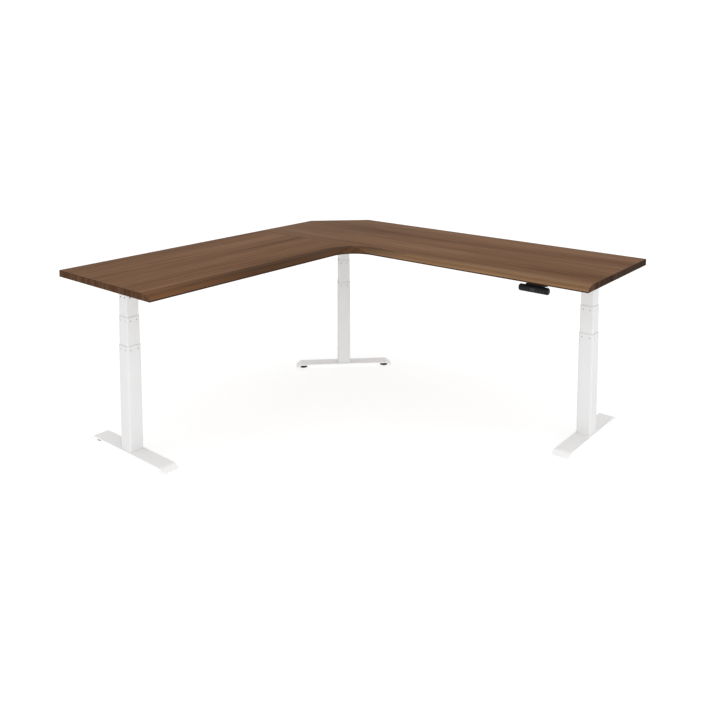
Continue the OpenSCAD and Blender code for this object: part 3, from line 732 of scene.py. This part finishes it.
def desktop_piece(name, materials, keep_main, node):
    """One desktop, cut from the whole L at the seam, with its faces given their finishes."""
    bm = desk_mesh()
    seam = Y_IN + (SEAM_GAP if keep_main else -SEAM_GAP)
    split(bm, (0, seam, 0), (0, 1, 0), clear_inner=keep_main, clear_outer=not keep_main)
    close_holes(bm)
    # The faces are parted where the straight edge meets the inner corner
    split(bm, (X_IN + INNER_RADIUS, 0, 0), (1, 0, 0))
    bm.normal_update()
    # Faces get their walnut by where they lie; the slopes and lips take lighter or darker copies of it
    # as painted light and painted shade.
    for face in bm.faces:
        middle = face.calc_center_median()
        if abs(face.normal.z) > LEVEL_FACE:
            face.material_index = TOP_FACE
        elif abs(face.normal.z) < UPRIGHT_FACE and middle.z < UNDERSIDE + EDGE_LIP:
            face.material_index = LIP
        elif face.normal.z > UPRIGHT_FACE:
            on_main = middle.x > X_IN + INNER_RADIUS / 2
            face.material_index = MAIN_SLOPE if on_main else RETURN_SLOPE
        else:
            face.material_index = WALL_EDGE
    return finish(bm, name, materials, "top", [node], smooth_angle=28.0,
                  bevel=DESK_ARRIS)


desktop_piece("main_desktop", MAIN_WALNUT, True, "main_top")
desktop_piece("return_desktop", RETURN_WALNUT, False, "return_top")

# ---------------------------------------------------------------------------
# Control box. A black moulded shell under the main wing with sockets for the
# columns and the hand control, its cover plate and the circuit board inside.
# ---------------------------------------------------------------------------

BLACK_MOULDING = grained_material("black_moulding", (0.014, 0.014, 0.015), 0.5, 0.0007, 0.25, 0.2,
                                  Specular_IOR_Level=0.25)
SOLDER_MASK = grained_material("solder_mask", (0.012, 0.09, 0.035), 0.3, 0.002, 0.1, 0.15)
coat_nodes(BLACK_MOULDING, "control_box_shell", "control_box_cover")
coat_nodes(SOLDER_MASK, "control_board")

# ---------------------------------------------------------------------------
# Hand control. A rounded black bar on a sprung bracket under the user's edge.
# Its face carries a small display window and a row of round keys; tilting the
# bar up or down drives the desk.
# ---------------------------------------------------------------------------

HANDLE_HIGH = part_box("keypad_handle")[1]
caps_low, caps_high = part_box("keypad_end_caps")
BAR_RADIUS = (caps_high.z - caps_low.z) / 2
BAR_MIDDLE = (caps_low + caps_high) / 2
BAR_HALF = (caps_high.x - caps_low.x) / 2
BAR_ROUND = 7 * MM
ARM_HALF = 44 * MM
ARM_BACK_GAP = 6 * MM
ARM_TOP_GAP = 2 * MM
ARM_DEPTH = 11 * MM
ARM_ARRIS = 2 * MM
key_low, key_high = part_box("memory_button")
KEY_RADIUS = (key_high.z - key_low.z) / 2
KEY_OUT = 1.5 * MM
KEY_ROUND = 0.6 * MM
KEY_DISH = 0.35 * MM
KEY_DISH_SIDE = 0.25 * MM
KEY_SUNK = 2 * MM
KEY_PLACES = (-56, -24, 24, 40, 56)
WINDOW_HALF = 13 * MM
WINDOW_PROUD = 0.15 * MM
WINDOW_SUNK = 1 * MM
WINDOW_TURN = radians(44)


def bar_mesh():
    """The bar, turned about its own axis, along X."""
    bm = bmesh.new()
    end = arc((BAR_RADIUS - BAR_ROUND, BAR_HALF - BAR_ROUND), BAR_ROUND, 0, 90, 8)
    half = end + [(0, BAR_HALF)]
    outline = [(r, -z) for r, z in reversed(half)] + half
    spun(bm, outline, 64)
    bmesh.ops.rotate(bm, verts=bm.verts, matrix=Matrix.Rotation(pi / 2, 3, "Y"))
    bmesh.ops.translate(bm, verts=bm.verts, vec=BAR_MIDDLE)
    return bm


def key_mesh(along):
    """A dished key standing out of the bar's front, at a place along it."""
    bm = bmesh.new()
    rim = arc((KEY_RADIUS - KEY_ROUND, KEY_OUT - KEY_ROUND), KEY_ROUND, 0, 90, 4)
    dish = [(0.72 * KEY_RADIUS, KEY_OUT), (0.4 * KEY_RADIUS, KEY_OUT - KEY_DISH_SIDE),
            (0, KEY_OUT - KEY_DISH)]
    spun(bm, [(0, -KEY_SUNK), (KEY_RADIUS, -KEY_SUNK)] + rim + dish, 40)
    bmesh.ops.rotate(bm, verts=bm.verts, matrix=Matrix.Rotation(pi / 2, 3, "X"))
    bmesh.ops.translate(bm, verts=bm.verts,
                        vec=(BAR_MIDDLE.x + along, BAR_MIDDLE.y - BAR_RADIUS, BAR_MIDDLE.z))
    return bm


def window_mesh():
    """A thin curved pane let into the bar's front."""
    bm = bmesh.new()
    inner = BAR_RADIUS - WINDOW_SUNK
    outer = BAR_RADIUS + WINDOW_PROUD
    corners = [(-WINDOW_HALF, inner), (WINDOW_HALF, inner), (WINDOW_HALF, outer),
               (-WINDOW_HALF, outer)]
    face = bm.faces.new([bm.verts.new((x, -r, 0)) for x, r in corners])
    bmesh.ops.rotate(bm, verts=bm.verts, matrix=Matrix.Rotation(-WINDOW_TURN / 2, 3, "X"))
    bmesh.ops.spin(bm, geom=[face] + face.edges[:] + face.verts[:], cent=(0, 0, 0),
                   axis=(1, 0, 0), dvec=(0, 0, 0), angle=WINDOW_TURN, steps=10,
                   use_merge=False, use_duplicate=False)
    bmesh.ops.translate(bm, verts=bm.verts, vec=BAR_MIDDLE)
    return bm


def arm_box(bm, low, high):
    """A block between two corners."""
    made = bmesh.ops.create_cube(bm, size=1.0)["verts"]
    bmesh.ops.scale(bm, verts=made, vec=high - low)
    bmesh.ops.translate(bm, verts=made, vec=(low + high) / 2)


SOFT_BLACK = grained_material("soft_black", (0.006, 0.006, 0.0065), 0.4, 0.0006, 0.1, 0.2,
                              Specular_IOR_Level=0.14)
KEY_BLACK = grained_material("key_black", (0.012, 0.012, 0.013), 0.5, 0.0005, 0.1, 0.15,
                             Specular_IOR_Level=0.2)
WINDOW_BLACK = grained_material("window_black", (0.004, 0.004, 0.006), 0.1, 0.004, 0.02, 0.1,
                                Specular_IOR_Level=0.4)

finish(bar_mesh(), "hand_control_bar", [SOFT_BLACK], "hand_control",
       ["keypad_handle", "keypad_end_caps"])
arm = bmesh.new()
arm_top = HANDLE_HIGH.z - ARM_TOP_GAP
arm_box(arm, Vector((BAR_MIDDLE.x - ARM_HALF, BAR_MIDDLE.y, arm_top - ARM_DEPTH)),
        Vector((BAR_MIDDLE.x + ARM_HALF, HANDLE_HIGH.y - ARM_BACK_GAP, arm_top)))
finish(arm, "hand_control_arm", [SOFT_BLACK], "hand_control", [],
       bevel=ARM_ARRIS, segments=3)
finish(window_mesh(), "hand_control_window", [WINDOW_BLACK], "hand_control", [])
for number, along in enumerate(KEY_PLACES):
    finish(key_mesh(along * MM), f"hand_control_key_{number}", [KEY_BLACK], "hand_control",
           [])
finish(key_mesh((key_low.x + key_high.x) / 2 - BAR_MIDDLE.x), "hand_control_memory_key",
       [KEY_BLACK], "memory_button", ["memory_button"])

coat_nodes(BLACK_MOULDING, "keypad_bracket")

# ---------------------------------------------------------------------------
# Studio. A white floor and sky, a small soft light beside each outer column and
# a broad one low in front, and the camera at standing height off the desk's
# inner corner.
# ---------------------------------------------------------------------------

FLOOR_HALF = 30.0
FLOOR_GLOW = 0.68
floor_mesh = bmesh.new()
bmesh.ops.create_grid(floor_mesh, x_segments=1, y_segments=1, size=FLOOR_HALF)
floor_data = bpy.data.meshes.new("studio_floor")
floor_mesh.to_mesh(floor_data)
floor_mesh.free()
floor = bpy.data.objects.new("studio_floor", floor_data)
bpy.context.scene.collection.objects.link(floor)
floor_material, floor_tree = new_material("studio_white")
close_material(floor_tree, (0.4, 0.4, 0.4), 0.9, Specular_IOR_Level=0.0,
               Emission_Color=(1.0, 1.0, 1.0, 1.0), Emission_Strength=FLOOR_GLOW)
floor_data.materials.append(floor_material)

world = bpy.data.worlds.new("studio_sky")
bpy.context.scene.world = world
world.use_nodes = True
world.node_tree.nodes["Background"].inputs["Color"].default_value = (1.0, 1.0, 1.0, 1.0)
world.node_tree.nodes["Background"].inputs["Strength"].default_value = 1.0


def soft_box(name, place, aim, size, power):
    """A square soft light at a place, facing a point."""
    data = bpy.data.lights.new(name, "AREA")
    data.size = size
    data.energy = power
    lamp = bpy.data.objects.new(name, data)
    bpy.context.scene.collection.objects.link(lamp)
    lamp.location = place
    lamp.rotation_euler = (Vector(place) - Vector(aim)).to_track_quat("Z", "Y").to_euler()


soft_box("left_soft_box", (-1.6, -3.3, 1.3), (-0.7, -0.9, 0.4), 1.4, 6.0)
soft_box("right_soft_box", (3.3, 1.2, 1.3), (0.9, 0.7, 0.4), 1.4, 6.0)
soft_box("front_fill", (2.8, -2.8, 0.6), (-0.6, 0.6, 0.4), 1.4, 44.0)

CAMERA_PLACE = (2.4011, -2.9507, 1.728)
CAMERA_TURN = (84.737, 0.0, 39.736)
CAMERA_LENS = 40.562
CAMERA_SHIFT = -0.28
camera_data = bpy.data.cameras.new("camera")
camera_data.lens = CAMERA_LENS
camera_data.shift_y = CAMERA_SHIFT
camera = bpy.data.objects.new("camera", camera_data)
bpy.context.scene.collection.objects.link(camera)
camera.location = CAMERA_PLACE
camera.rotation_euler = [radians(part) for part in CAMERA_TURN]
bpy.context.scene.camera = camera
bpy.context.scene.view_settings.view_transform = "Standard"
